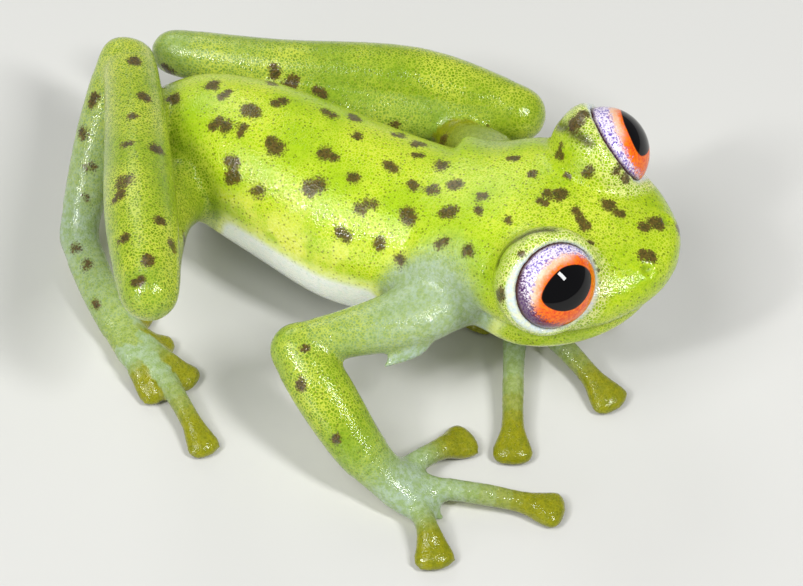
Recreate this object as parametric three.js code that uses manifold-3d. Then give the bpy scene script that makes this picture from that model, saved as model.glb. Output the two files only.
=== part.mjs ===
import * as THREE from 'three';
import { mergeVertices } from 'three/addons/utils/BufferGeometryUtils.js';
import Module from 'manifold-3d';

// A glass frog, 26 mm from snout to vent, crouching with its head raised.
// Sizes are in millimetres. Stations are written forward, left and up of the floor under the chest.

const gap = 0.3;                 // clearance between neighbouring parts
const floorLevel = 0;
const bodyForward = 1.6;         // slides the frog along so that its middle is at the origin
const bodyLeft = -1.9;
const neckForward = 3.1;
const bodySides = 24;
const limbSides = 10;
const digitSides = 8;

const headYaw = 4.8 * Math.PI / 180;   // the head looks a little to its left
const headShift = [-0.18, -0.26, 0];
const eyeRadius = 1.95;
const eyeForward = 7.68;
const eyeLeft = 3.6;
const eyeUp = 8.13;
const eyeAxis = [0.65, 0.54, 0.53];
const lidPlane = 0.63;           // distance of the lid's rim from the middle of the eyeball
const lidWall = 0.38;
const lidRim = 0.25;
const nostrilForward = 11.1;
const nostrilLeft = 1.3;
const nostrilUp = 7.7;

// forward, left, half width, top, bottom
const torsoRows = [
  [-13.3, 0, 0.1, 3.4, 3.0],
  [-13.0, 0, 0.9, 4.3, 2.2],
  [-12.2, 0, 1.7, 5.2, 1.5],
  [-10.5, -0.1, 2.7, 6.5, 1.2],
  [-8, -0.3, 3.35, 7.3, 1.3],
  [-5.5, -0.5, 3.7, 7.5, 1.1],
  [-2, -0.8, 4.0, 7.5, 0.8],
  [1, -0.7, 3.9, 7.6, 1.2],
  [neckForward, -0.45, 3.9, 8.0, 2.2],
  [4.6, -0.3, 4.0, 8.4, 3.0],
];

const skullRows = [
  [1.6, 0, 3.9, 7.7, 3.9],
  [neckForward, -0.1, 3.95, 8.1, 4.1],
  [4.8, 0, 4.4, 8.6, 4.4],
  [6.6, 0, 4.85, 8.8, 4.5],
  [8.4, 0, 4.6, 8.65, 4.8],
  [10.1, 0, 3.65, 8.2, 5.2],
  [11.3, 0, 2.4, 7.95, 5.7],
  [11.95, 0, 1.3, 7.65, 6.2],
  [12.2, 0, 0.1, 7.1, 6.7],
];

const jawRows = [
  [1.6, 0, 3.5, 6.4, 1.6],
  [neckForward, 0, 3.6, 6.4, 2.2],
  [4.8, 0, 4.05, 6.5, 2.9],
  [6.6, 0, 4.5, 6.4, 3.2],
  [8.4, 0, 4.2, 6.5, 3.7],
  [10.1, 0, 3.25, 6.6, 4.4],
  [11.2, 0, 1.95, 6.7, 5.2],
  [11.8, 0, 0.1, 6.4, 6.0],
];

// forward, left, up, half width, half depth
const rightArm = {
  upper: [[3.9, -2.8, 5.0, 1.9, 1.4], [2.4, -5.5, 4.9, 1.5, 1.1], [-1.2, -8.7, 4.5, 1.0, 1.0]],
  spine: [[2.6, -4.8, 4.6, 0.9, 0.5], [2.9, -6.4, 4.3, 0.6, 0.33], [2.4, -7.7, 4.1, 0.2, 0.15]],
  fore: [[-1.2, -8.7, 4.5, 1.2, 1.1], [0.6, -9.7, 3.6, 1.25, 1.15], [2.6, -10.6, 2.2, 1.1, 1.0],
    [4.0, -10.9, 1.3, 1.0, 0.8]],
  palm: [[4.0, -10.9, 1.3, 1.0, 0.8], [4.7, -10.85, 0.95, 1.15, 0.75], [5.6, -10.8, 0.58, 1.1, 0.67]],
  digits: [
    [[4.0, -10.2, 0.8], [3.1, -9.7, 0.7], [2.0, -9.4, 0.34]],
    [[4.5, -10.0, 0.8], [5.1, -8.8, 0.8], [6.2, -6.9, 0.34]],
    [[5.5, -10.4, 0.8], [8.0, -9.6, 0.75], [11.2, -8.7, 0.34]],
    [[5.4, -11.2, 0.8], [6.5, -12.1, 0.75], [7.6, -13.5, 0.34]],
  ],
};

const leftArm = {
  upper: [[3.4, 2.2, 5.4, 1.6, 1.4], [1.9, 4.0, 4.6, 1.2, 1.15], [0.2, 5.0, 3.2, 1.0, 1.0]],
  spine: [[1.9, 3.6, 4.0, 0.6, 0.45], [2.5, 4.1, 3.6, 0.5, 0.33], [2.9, 4.6, 3.2, 0.2, 0.15]],
  fore: [[0.2, 5.0, 3.2, 1.15, 1.05], [1.5, 3.7, 2.5, 1.2, 1.05], [3.0, 2.1, 1.6, 1.05, 0.9],
    [4.3, 0.8, 1.05, 1.0, 0.8]],
  palm: [[4.3, 0.8, 1.05, 1.0, 0.8], [5.0, 0.0, 0.9, 1.15, 0.75], [5.7, -0.8, 0.58, 1.1, 0.67]],
  digits: [
    [[4.6, 0.1, 0.8], [4.1, -0.6, 0.75], [4.0, -1.7, 0.34]],
    [[5.7, -1.2, 0.8], [6.8, -3.9, 0.8], [8.3, -7.3, 0.34]],
    [[6.1, -0.5, 0.8], [8.2, -1.3, 0.75], [11.1, -2.8, 0.34]],
    [[6.0, 0.3, 0.8], [7.4, 0.9, 0.75], [9.2, 1.6, 0.34]],
  ],
};

const rightLeg = {
  thigh: [[-9.0, -1.0, 3.4, 1.7, 1.7], [-9.4, -4.6, 4.8, 1.6, 1.6], [-8.1, -8.6, 7.2, 1.5, 1.4],
    [-6.5, -11.7, 9.0, 1.3, 1.3]],
  shank: [[-6.5, -11.7, 9.0, 1.3, 1.25], [-8.8, -7.8, 8.4, 1.55, 1.5], [-11.6, -2.6, 6.9, 1.3, 1.3],
    [-13.8, 1.2, 5.6, 1.15, 1.05]],
  tarsus: [[-14.1, 1.2, 5.6, 1.05, 1.0], [-14.0, -1.6, 3.4, 0.9, 0.9], [-13.2, -5.1, 0.9, 0.85, 0.8]],
  sole: [[-13.2, -5.1, 0.9, 0.85, 0.8], [-11.0, -7.3, 0.8, 0.8, 0.65], [-8.6, -9.1, 0.54, 0.85, 0.62]],
  digits: [
    [[-10.6, -7.1, 0.7], [-9.4, -7.5, 0.6], [-8.6, -7.7, 0.3]],
    [[-9.4, -8.2, 0.7], [-8.3, -8.5, 0.7], [-7.1, -8.5, 0.3]],
    [[-8.4, -8.8, 0.7], [-7.0, -9.2, 0.7], [-5.5, -9.5, 0.3]],
    [[-8.0, -9.4, 0.7], [-6.0, -10.5, 0.7], [-3.4, -12.5, 0.34]],
    [[-8.5, -9.7, 0.7], [-7.6, -10.3, 0.65], [-6.4, -10.8, 0.3]],
  ],
};

const leftLeg = {
  thigh: [[-9.0, 1.0, 3.2, 1.7, 1.7], [-6.4, 3.9, 3.0, 1.6, 1.6], [-2.4, 6.0, 3.1, 1.55, 1.4],
    [1.8, 7.6, 3.3, 1.3, 1.3]],
  shank: [[1.8, 7.6, 3.3, 1.3, 1.25], [-2.8, 6.9, 3.8, 1.55, 1.5], [-8.4, 4.8, 4.0, 1.25, 1.3],
    [-12.9, 3.7, 3.9, 1.05, 1.05]],
  tarsus: [[-12.9, 3.7, 3.9, 1.0, 1.0], [-11.2, 5.1, 2.4, 0.9, 0.85], [-8.6, 6.4, 0.9, 0.85, 0.8]],
  sole: [[-8.6, 6.4, 0.9, 0.85, 0.8], [-6.4, 7.4, 0.7, 0.8, 0.65], [-4.4, 7.8, 0.54, 0.85, 0.62]],
  digits: [
    [[-5.8, 6.9, 0.7], [-4.9, 6.2, 0.6], [-4.1, 5.5, 0.3]],
    [[-4.8, 7.3, 0.7], [-3.5, 6.8, 0.7], [-2.3, 6.1, 0.3]],
    [[-3.9, 7.6, 0.7], [-2.2, 7.4, 0.7], [-0.3, 6.9, 0.3]],
    [[-3.7, 8.2, 0.7], [-1.7, 8.4, 0.7], [1.0, 8.6, 0.34]],
    [[-4.3, 8.5, 0.7], [-3.1, 9.0, 0.65], [-1.8, 9.5, 0.3]],
  ],
};

// distance back from the tip, half width, half depth of a finger or toe with its round pad
const fingerPad = [[0, 0.3, 0.12], [0.12, 0.66, 0.28], [0.5, 0.88, 0.42], [1.0, 0.8, 0.45], [1.7, 0.5, 0.42]];
const toePad = [[0, 0.28, 0.12], [0.14, 0.56, 0.28], [0.55, 0.72, 0.4], [1.1, 0.66, 0.42], [1.7, 0.46, 0.34]];
const padLength = 1.2;
const padSink = 0.04;            // pressed flat on the ground by this much
const fingerShaft = [0.48, 0.45];
const digitRoot = [0.58, 0.52];

const skinLime = { color: 0x9ccb0c, roughness: 0.4, metalness: 0 };
const skinPale = { color: 0xb4d878, roughness: 0.35, metalness: 0 };
const skinOlive = { color: 0xa3a80a, roughness: 0.3, metalness: 0 };
const skinGlassy = { color: 0x9fc4a0, roughness: 0.3, metalness: 0 };
const eyeWet = { color: 0xe0602a, roughness: 0.05, metalness: 0 };

const wasm = await Module();
wasm.setup();
const frog = new THREE.Group();

function at([forward, left, up]) {
  return new THREE.Vector3(left - bodyLeft, -forward - bodyForward, up);
}

// a place on the head, which is turned about the neck
function onHead([forward, left, up]) {
  const ahead = forward - neckForward;
  return at([
    neckForward + ahead * Math.cos(headYaw) - left * Math.sin(headYaw) + headShift[0],
    ahead * Math.sin(headYaw) + left * Math.cos(headYaw) + headShift[1],
    up + headShift[2],
  ]);
}

// a smooth curve through rows of numbers
function between(rows, place) {
  const last = rows.length - 1;
  const start = Math.min(Math.floor(place), last - 1);
  const f = place - start;
  const [a, b, c, d] = [-1, 0, 1, 2].map((step) => rows[Math.max(0, Math.min(last, start + step))]);
  return b.map((_, k) => 0.5 * (2 * b[k] + (c[k] - a[k]) * f
    + (2 * a[k] - 5 * b[k] + 4 * c[k] - d[k]) * f ** 2
    + (3 * b[k] - a[k] - 3 * c[k] + d[k]) * f ** 3));
}

function sampled(rows, steps) {
  const count = (rows.length - 1) * steps;
  return Array.from({ length: count + 1 }, (_, k) => between(rows, k / steps));
}

// closes a row of rings, each with the same number of points, into one solid
function closedRings(rings) {
  const sides = rings[0].length;
  const points = rings.flat();
  const faces = [];
  for (let r = 0; r < rings.length - 1; r += 1) {
    for (let s = 0; s < sides; s += 1) {
      const next = (s + 1) % sides;
      const a = r * sides + s;
      const b = r * sides + next;
      const c = a + sides;
      const d = b + sides;
      faces.push(a, b, d, a, d, c);
    }
  }
  for (const [ring, turn] of [[0, 1], [rings.length - 1, -1]]) {
    const middle = new THREE.Vector3();
    rings[ring].forEach((p) => middle.addScaledVector(p, 1 / sides));
    const hub = points.push(middle) - 1;
    for (let s = 0; s < sides; s += 1) {
      const a = ring * sides + s;
      const b = ring * sides + (s + 1) % sides;
      faces.push(...(turn > 0 ? [hub, b, a] : [hub, a, b]));
    }
  }
  const geometry = new THREE.BufferGeometry().setFromPoints(points);
  geometry.setIndex(faces);
  return geometry;
}

function solidFrom(geometry) {
  geometry.deleteAttribute('normal');
  geometry.deleteAttribute('uv');
  const merged = mergeVertices(geometry, 1e-4);
  return new wasm.Manifold(new wasm.Mesh({
    numProp: 3,
    vertProperties: merged.attributes.position.array,
    triVerts: Uint32Array.from(merged.index.array),
  }));
}

// rounded cross-sections that stand upright along the body; rows as in the torso's table
function upright(rows, { grow = 0, steps = 2, fullness = 2.3, place = at } = {}) {
  const widestAt = 0.46;
  const rings = sampled(rows, steps).map(([forward, left, halfWidth, top, bottom], index, all) => {
    const end = index === 0 ? -1 : index === all.length - 1 ? 1 : 0;
    const middle = bottom + widestAt * (top - bottom);
    return Array.from({ length: bodySides }, (_, s) => {
      const angle = 2 * Math.PI * s / bodySides;
      const across = Math.sign(Math.cos(angle)) * Math.abs(Math.cos(angle)) ** (2 / fullness);
      const rise = Math.sign(Math.sin(angle)) * Math.abs(Math.sin(angle)) ** (2 / fullness);
      const reach = rise > 0 ? top - middle : middle - bottom;
      const up = middle + rise * (reach + grow);
      const level = grow > 0 ? up : Math.max(up, floorLevel);
      return place([forward + end * grow, left + across * (halfWidth + grow), level]);
    });
  });
  return solidFrom(closedRings(rings));
}

// an oval tube along stations, with round ends; rows are forward, left, up, half width, half depth
function limb(rows, { grow = 0, steps = 2, sides = limbSides, roundStart = true, roundEnd = true } = {}) {
  const along = sampled(rows, steps);
  const places = along.map((row) => at(row));
  const flatTurn = sides % 4 === 0 ? 0.5 : 0;   // lays an edge of the ring underneath
  const rings = [];
  const addRing = (index, slide, shrink) => {
    const ahead = places[Math.min(index + 1, places.length - 1)];
    const behind = places[Math.max(index - 1, 0)];
    const forward = ahead.clone().sub(behind).normalize();
    const across = new THREE.Vector3(0, 0, 1).cross(forward).normalize();
    const up = forward.clone().cross(across);
    const [, , , halfWidth, halfDepth] = along[index];
    const middle = places[index].clone().addScaledVector(forward, slide * (halfDepth + grow));
    const ring = Array.from({ length: sides }, (_, s) => {
      const angle = 2 * Math.PI * (s + flatTurn) / sides;
      const point = middle.clone()
        .addScaledVector(across, Math.cos(angle) * (halfWidth + grow) * shrink)
        .addScaledVector(up, Math.sin(angle) * (halfDepth + grow) * shrink);
      if (grow === 0) point.z = Math.max(point.z, floorLevel);
      return point;
    });
    rings.push(ring);
  };
  const dome = [0.95, 0.7, 0.38];
  if (roundStart) dome.forEach((reach) => addRing(0, -reach, Math.sqrt(1 - reach ** 2)));
  along.forEach((_, index) => addRing(index, 0, 1));
  const last = along.length - 1;
  if (roundEnd) [...dome].reverse().forEach((reach) => addRing(last, reach, Math.sqrt(1 - reach ** 2)));
  return solidFrom(closedRings(rings));
}

// a finger or toe: a slim shaft that widens into a flat-bottomed pad at its tip
function digit([root, bend, tip], pad, grow = 0) {
  const line = sampled([root, bend, tip], 24).map((row) => at(row));
  const reach = [0];
  line.slice(1).forEach((p, k) => reach.push(reach[k] + p.distanceTo(line[k])));
  const length = reach[reach.length - 1];
  const shaftEnd = pad[pad.length - 1][0];
  const shaft = [[(shaftEnd + length) / 2, ...fingerShaft], [length, ...digitRoot]];
  const sections = [...pad, ...shaft].reverse();
  const rows = sections.map(([back, halfWidth, halfDepth]) => {
    const want = length - back;
    const k = Math.max(1, reach.findIndex((value) => value >= want - 1e-9));
    const share = (want - reach[k - 1]) / (reach[k] - reach[k - 1]);
    const spot = line[k - 1].clone().lerp(line[k], share);
    const up = back < padLength ? 0.9 * halfDepth - padSink : spot.z;
    return [-spot.y - bodyForward, spot.x + bodyLeft, up, halfWidth, halfDepth];
  });
  return limb(rows, { grow, steps: 1, sides: digitSides, roundStart: false, roundEnd: false });
}

// keeps what lies on one side of a plane, trimmed back by half the gap
function sideOf(solid, through, normal) {
  const reach = 40;
  const block = new THREE.BoxGeometry(reach, reach, reach);
  block.translate(0, 0, reach / 2 + gap / 2);
  const turn = new THREE.Quaternion().setFromUnitVectors(new THREE.Vector3(0, 0, 1), normal);
  block.applyQuaternion(turn);
  block.translate(through.x, through.y, through.z);
  return solid.intersect(solidFrom(block));
}

// the largest closed body of a solid
function whole(solid) {
  const bodies = solid.decompose();
  return bodies.reduce((best, body) => (body.volume() > best.volume() ? body : best));
}

function node(name, solid, finish) {
  const { vertProperties, triVerts, numProp } = whole(solid).getMesh();
  const places = new Float32Array(vertProperties.length / numProp * 3);
  for (let k = 0; k < places.length / 3; k += 1) {
    places.set(vertProperties.subarray(k * numProp, k * numProp + 3), k * 3);
  }
  const geometry = new THREE.BufferGeometry();
  geometry.setAttribute('position', new THREE.BufferAttribute(places, 3));
  geometry.setIndex(new THREE.BufferAttribute(Uint32Array.from(triVerts), 1));
  geometry.computeVertexNormals();
  const mesh = new THREE.Mesh(geometry, new THREE.MeshStandardMaterial(finish));
  mesh.name = name;
  frog.add(mesh);
}

function direction([forward, left, up]) {
  return new THREE.Vector3(left, -forward, up).normalize();
}

// the plane that halves the angle between two lengths of a limb, facing the first
function bisector(first, joint, second) {
  const toFirst = at(first).sub(at(joint)).normalize();
  const toSecond = at(second).sub(at(joint)).normalize();
  return toFirst.sub(toSecond).normalize();
}

function ball(radius, centre, across = 14, down = 10) {
  const geometry = new THREE.SphereGeometry(radius, across, down);
  geometry.translate(centre.x, centre.y, centre.z);
  return solidFrom(geometry);
}

function eyeCentre(side) {
  return onHead([eyeForward, side * eyeLeft, eyeUp]);
}

function eyeDirection(side) {
  const [forward, left, up] = eyeAxis;
  const tip = onHead([eyeForward + forward, side * (eyeLeft + left), eyeUp + up]);
  return tip.sub(eyeCentre(side)).normalize();
}

// head, with raised eyelids, nostrils, and lips that stand proud of the jaw
function headSolid(grow = 0) {
  let head = upright(skullRows, { grow, place: onHead }).add(upright(jawRows, { grow, place: onHead }));
  for (const side of [1, -1]) {
    const centre = eyeCentre(side);
    const axis = eyeDirection(side);
    const rimCentre = centre.clone().addScaledVector(axis, lidPlane);
    const bulge = ball(eyeRadius + gap + lidWall + grow, centre);
    head = head.add(sideOf(bulge, rimCentre.clone().addScaledVector(axis, grow), axis.clone().negate()));
    const rim = new THREE.TorusGeometry(eyeRadius + gap + lidRim * 0.8, lidRim + grow, 6, 20);
    rim.applyQuaternion(new THREE.Quaternion().setFromUnitVectors(new THREE.Vector3(0, 0, 1), axis));
    rim.translate(rimCentre.x, rimCentre.y, rimCentre.z);
    head = head.add(solidFrom(rim));
    const nostril = onHead([nostrilForward, side * nostrilLeft, nostrilUp]);
    head = head.add(ball(0.45 + grow, nostril, 10, 8));
  }
  return head;
}

function carvedHead() {
  let head = headSolid();
  for (const side of [1, -1]) {
    head = head.subtract(ball(eyeRadius + gap, eyeCentre(side)));
    const nostril = onHead([nostrilForward + 0.25, side * (nostrilLeft + 0.25), nostrilUp + 0.28]);
    head = head.subtract(ball(0.2, nostril, 8, 6));
  }
  return head;
}

const neck = at([neckForward, 0, 0]);
const towardSnout = direction([1, 0, 0]);
const torso = sideOf(upright(torsoRows), neck, towardSnout.clone().negate());
node('torso', torso, skinLime);
const head = sideOf(carvedHead(), neck, towardSnout);
node('head', head, skinLime);
node('eye_left', ball(eyeRadius, eyeCentre(1), 16, 12), eyeWet);
node('eye_right', ball(eyeRadius, eyeCentre(-1), 16, 12), eyeWet);

const torsoClear = upright(torsoRows, { grow: gap });
const headClear = sideOf(headSolid(gap), neck, towardSnout);
const trunkClear = torsoClear.add(headClear);

// the fingers or toes of one hand or foot, each cut clear of its base and of the ones before it
function fan(side, names, digits, pad, baseClear, finish) {
  const cut = [];
  digits.forEach((line, k) => {
    let solid = digit(line, pad).subtract(baseClear);
    cut.forEach((taken) => { solid = solid.subtract(taken); });
    cut.push(digit(line, pad, gap));
    node(`${names}_${k + 1}_${side}`, solid, finish);
  });
}

function arm(side, rows, inTheWay) {
  const [shoulder, , elbow] = rows.upper;
  const wrist = rows.palm[0];
  const elbowPlane = bisector(shoulder, elbow, rows.fore[2]);
  const wristPlane = bisector(rows.fore[2], wrist, rows.palm[2]);
  const spine = limb(rows.spine, { sides: 8, steps: 1 });
  const upper = sideOf(limb(rows.upper), at(elbow), elbowPlane).add(spine).subtract(inTheWay);
  node(`upper_arm_${side}`, upper, skinPale);
  let fore = sideOf(limb(rows.fore), at(elbow), elbowPlane.clone().negate());
  fore = sideOf(fore, at(wrist), wristPlane).subtract(inTheWay);
  node(`forearm_${side}`, fore, skinLime);
  const palm = sideOf(limb(rows.palm), at(wrist), wristPlane.clone().negate());
  node(`palm_${side}`, palm, skinGlassy);
  const clear = limb(rows.palm, { grow: gap }).add(limb(rows.fore, { grow: gap })).add(trunkClear);
  fan(side, 'finger', rows.digits, fingerPad, clear, skinOlive);
}

function leg(side, rows) {
  const [hip] = rows.thigh;
  const knee = rows.shank[0];
  const heel = rows.tarsus[0];
  const instep = rows.sole[0];
  const kneePlane = bisector(hip, knee, heel);
  const heelPlane = bisector(knee, heel, instep);
  const instepPlane = bisector(heel, instep, rows.sole[2]);
  const thigh = sideOf(limb(rows.thigh), at(knee), kneePlane).subtract(torsoClear);
  node(`thigh_${side}`, thigh, skinLime);
  let shank = sideOf(limb(rows.shank), at(knee), kneePlane.clone().negate());
  shank = sideOf(shank, at(heel), heelPlane).subtract(torsoClear);
  node(`shank_${side}`, shank, skinLime);
  let tarsus = sideOf(limb(rows.tarsus), at(heel), heelPlane.clone().negate());
  tarsus = sideOf(tarsus, at(instep), instepPlane).subtract(torsoClear);
  node(`tarsus_${side}`, tarsus, skinPale);
  const sole = sideOf(limb(rows.sole), at(instep), instepPlane.clone().negate());
  node(`sole_${side}`, sole, skinPale);
  const clear = limb(rows.sole, { grow: gap });
  fan(side, 'toe', rows.digits, toePad, clear, skinOlive);
}

arm('right', rightArm, trunkClear);
arm('left', leftArm, trunkClear.add(limb(leftLeg.thigh, { grow: gap })));
leg('right', rightLeg);
leg('left', leftLeg);

export default frog;
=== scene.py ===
import bpy
import bmesh
import math
import random
from mathutils import Vector, Matrix, kdtree
from mathutils.bvhtree import BVHTree


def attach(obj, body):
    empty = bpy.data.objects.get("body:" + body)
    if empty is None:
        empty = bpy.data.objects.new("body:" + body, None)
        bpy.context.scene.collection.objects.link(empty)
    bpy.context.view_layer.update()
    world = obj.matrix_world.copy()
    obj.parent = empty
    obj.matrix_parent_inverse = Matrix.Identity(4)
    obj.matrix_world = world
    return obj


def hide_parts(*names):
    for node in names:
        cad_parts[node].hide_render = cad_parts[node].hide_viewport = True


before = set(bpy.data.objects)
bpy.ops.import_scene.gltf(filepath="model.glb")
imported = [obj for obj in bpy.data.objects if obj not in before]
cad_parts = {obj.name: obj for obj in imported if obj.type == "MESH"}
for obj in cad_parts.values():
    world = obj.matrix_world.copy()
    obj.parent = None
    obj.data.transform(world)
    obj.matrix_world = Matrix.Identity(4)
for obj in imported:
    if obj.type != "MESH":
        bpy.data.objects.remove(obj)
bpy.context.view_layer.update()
print("frame loaded:", len(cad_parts), "solids")

# All shaping is done in millimetres: forward, left and up of the ground under the chest.
# The frog faces -Y, and its left is +X. Each finished mesh is turned to metres at its end.
mm = 0.001
ground = {"bodyForward": 1.6, "bodyLeft": -1.9, "neckForward": 3.1}


def at(place):
    forward, left, up = place
    return Vector((left - ground["bodyLeft"], -forward - ground["bodyForward"], up))


headPose = {"yaw": math.radians(4.8), "shift": (-0.18, -0.26, 0)}


def onHead(place):
    ahead, left, up = place[0] - ground["neckForward"], place[1], place[2]
    yaw, shift = headPose["yaw"], headPose["shift"]
    return at((
        ground["neckForward"] + ahead * math.cos(yaw) - left * math.sin(yaw) + shift[0],
        ahead * math.sin(yaw) + left * math.cos(yaw) + shift[1],
        up + shift[2],
    ))


def ease(low, high, value):
    share = max(0.0, min(1.0, (value - low) / (high - low)))
    return share * share * (3 - 2 * share)


def between(p, q, r, s, f):
    # Catmull-Rom from q to r
    straight = (r - p) * f
    bend = (2 * p - 5 * q + 4 * r - s) * f ** 2
    turn = (3 * q - p - 3 * r + s) * f ** 3
    return 0.5 * (2 * q + straight + bend + turn)


def smoothRows(rows, steps):
    # a smooth course through rows of numbers
    made = []
    last = len(rows) - 1
    for step in range(last * steps + 1):
        start = min(step // steps, last - 1)
        f = step / steps - start
        four = [rows[max(0, min(last, start + k))] for k in (-1, 0, 1, 2)]
        made.append([between(*numbers, f) for numbers in zip(*four)])
    return made


# Camera: the photograph is taken from the frog's right front, well above it
camera = {
    "azimuth": math.radians(-68.1), "elevation": math.radians(53.7), "roll": math.radians(3.3),
    "distance": 220.0, "target": (1.45, -3.85, 4.0), "lens": 234.15, "sensor": 36.0,
    "photoWide": 803, "photoHigh": 586,
}


def cameraAxes():
    a, e, roll = camera["azimuth"], camera["elevation"], camera["roll"]
    back = Vector((math.sin(a) * math.cos(e), -math.cos(a) * math.cos(e), math.sin(e)))
    right = Vector((math.cos(a), math.sin(a), 0))
    up = back.cross(right)
    turned = right * math.cos(roll) + up * math.sin(roll)
    return turned, back.cross(turned), back


def makeCamera():
    right, up, back = cameraAxes()
    data = bpy.data.cameras.new("Camera")
    data.lens = camera["lens"]
    data.sensor_width = camera["sensor"]
    data.clip_start = 0.01
    data.clip_end = 5
    eye = at(camera["target"]) + back * camera["distance"]
    cam = bpy.data.objects.new("Camera", data)
    turn = Matrix((right, up, back)).transposed().to_4x4()
    cam.matrix_world = Matrix.Translation(eye * mm) @ turn
    bpy.context.scene.collection.objects.link(cam)
    bpy.context.scene.camera = cam


def photoRay(across, down):
    # the line of sight through a pixel of the photograph, in millimetres
    right, up, back = cameraAxes()
    perPixel = camera["sensor"] / camera["lens"] / camera["photoWide"]
    eye = at(camera["target"]) + back * camera["distance"]
    x = (across - camera["photoWide"] / 2) * perPixel
    y = (camera["photoHigh"] / 2 - down) * perPixel
    return eye, (right * x + up * y - back).normalized()


makeCamera()
print("camera placed")

# Forms of the body. Rows: forward, left, half width, top, bottom
trunk = {
    "sides": 44, "steps": 5, "fullness": 2.25, "widest": 0.46,
    "rows": [
        (-13.3, 0, 0.1, 3.4, 3.0), (-13.0, 0, 0.9, 4.3, 2.2), (-12.2, 0, 1.75, 5.2, 1.5),
        (-10.5, -0.1, 2.75, 6.5, 1.2), (-8, -0.3, 3.35, 7.3, 1.3), (-5.5, -0.5, 3.7, 7.5, 1.1),
        (-2, -0.8, 4.0, 7.5, 0.8), (1, -0.7, 3.9, 7.6, 1.2), (3.1, -0.45, 3.9, 8.0, 2.2),
        (4.6, -0.3, 4.0, 8.4, 3.0),
    ],
}
skull = {
    "rows": [
        (1.6, 0, 3.9, 7.7, 3.9), (3.1, -0.1, 3.95, 8.1, 4.1), (4.8, 0, 4.4, 8.55, 4.4),
        (6.6, 0, 4.85, 8.75, 4.5), (8.4, 0, 4.6, 8.6, 4.8), (10.1, 0, 3.65, 8.2, 5.2),
        (11.3, 0, 2.4, 7.95, 5.7), (11.95, 0, 1.3, 7.65, 6.2), (12.2, 0, 0.1, 7.1, 6.7),
    ],
}
jaw = {
    "rows": [
        (1.6, 0, 3.5, 6.4, 1.6), (3.1, 0, 3.6, 6.4, 2.2), (4.8, 0, 4.1, 6.5, 2.9),
        (6.6, 0, 4.55, 6.4, 3.2), (8.4, 0, 4.28, 6.5, 3.7), (10.1, 0, 3.33, 6.6, 4.4),
        (11.2, 0, 2.05, 6.7, 5.2), (11.8, 0, 0.1, 6.4, 6.0),
    ],
}
eyes = {
    "radius": 1.95, "place": (7.68, 3.6, 8.13), "axis": (0.65, 0.54, 0.53),
    # the lids' outline, from the back of the eye to the lip against the eyeball: reach out, height
    "lids": [(0.0, -2.32), (0.9, -2.14), (1.65, -1.63), (2.15, -0.87), (2.33, 0.0), (2.27, 0.34),
             (2.15, 0.58), (2.02, 0.7), (1.92, 0.72), (1.83, 0.66), (1.78, 0.5), (1.7, 0.2)],
    "lidSteps": 3, "lidSides": 48, "limbus": 1.86,
}

# Limb rows: forward, left, up, half width, half depth, then the looks of the skin there:
# bluish and see-through, olive, and how strong the dark dots are
rightArm = {
    "upper": [(3.9, -2.8, 5.0, 1.9, 1.4, 0.9, 0, 0.1), (2.4, -5.5, 4.9, 1.45, 1.1, 0.8, 0, 0.1),
              (0.4, -7.3, 4.7, 1.05, 1.0, 0.35, 0, 0.3), (-1.2, -8.7, 4.5, 1.05, 1.0, 0.25, 0, 0.7)],
    "spine": [(2.6, -4.4, 4.6, 0.9, 0.5, 1, 0, 0), (3.2, -6.2, 4.35, 0.6, 0.3, 1, 0, 0),
              (2.4, -7.65, 4.1, 0.14, 0.12, 1, 0, 0)],
    "fore": [(-1.2, -8.7, 4.5, 1.2, 1.1, 0.1, 0, 1), (0.6, -9.7, 3.6, 1.3, 1.2, 0, 0, 1),
             (2.6, -10.6, 2.2, 1.15, 1.05, 0.1, 0, 0.8), (4.0, -10.9, 1.3, 1.0, 0.8, 0.7, 0.1, 0.2)],
    "palm": [(4.0, -10.9, 1.3, 1.0, 0.8, 0.8, 0.1, 0.1), (4.8, -10.9, 0.9, 1.15, 0.75, 0.9, 0.1, 0),
             (5.7, -10.85, 0.6, 1.15, 0.67, 0.9, 0.15, 0)],
    "web": [(5.6, -11.0, 0.45, 0.8, 0.34, 0.9, 0.1, 0), (6.2, -11.1, 0.4, 0.6, 0.3, 0.8, 0.1, 0),
            (6.7, -11.2, 0.36, 0.25, 0.2, 0.7, 0.2, 0)],
    "digits": [
        [(4.0, -10.2, 0.8), (3.1, -9.7, 0.7), (2.0, -9.4, 0.34)],
        [(4.5, -10.0, 0.8), (5.1, -8.8, 0.8), (6.2, -6.9, 0.34)],
        [(5.5, -10.4, 0.8), (8.0, -9.6, 0.75), (11.2, -8.7, 0.34)],
        [(5.4, -11.2, 0.8), (6.5, -12.1, 0.75), (7.6, -13.5, 0.34)],
    ],
}
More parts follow.
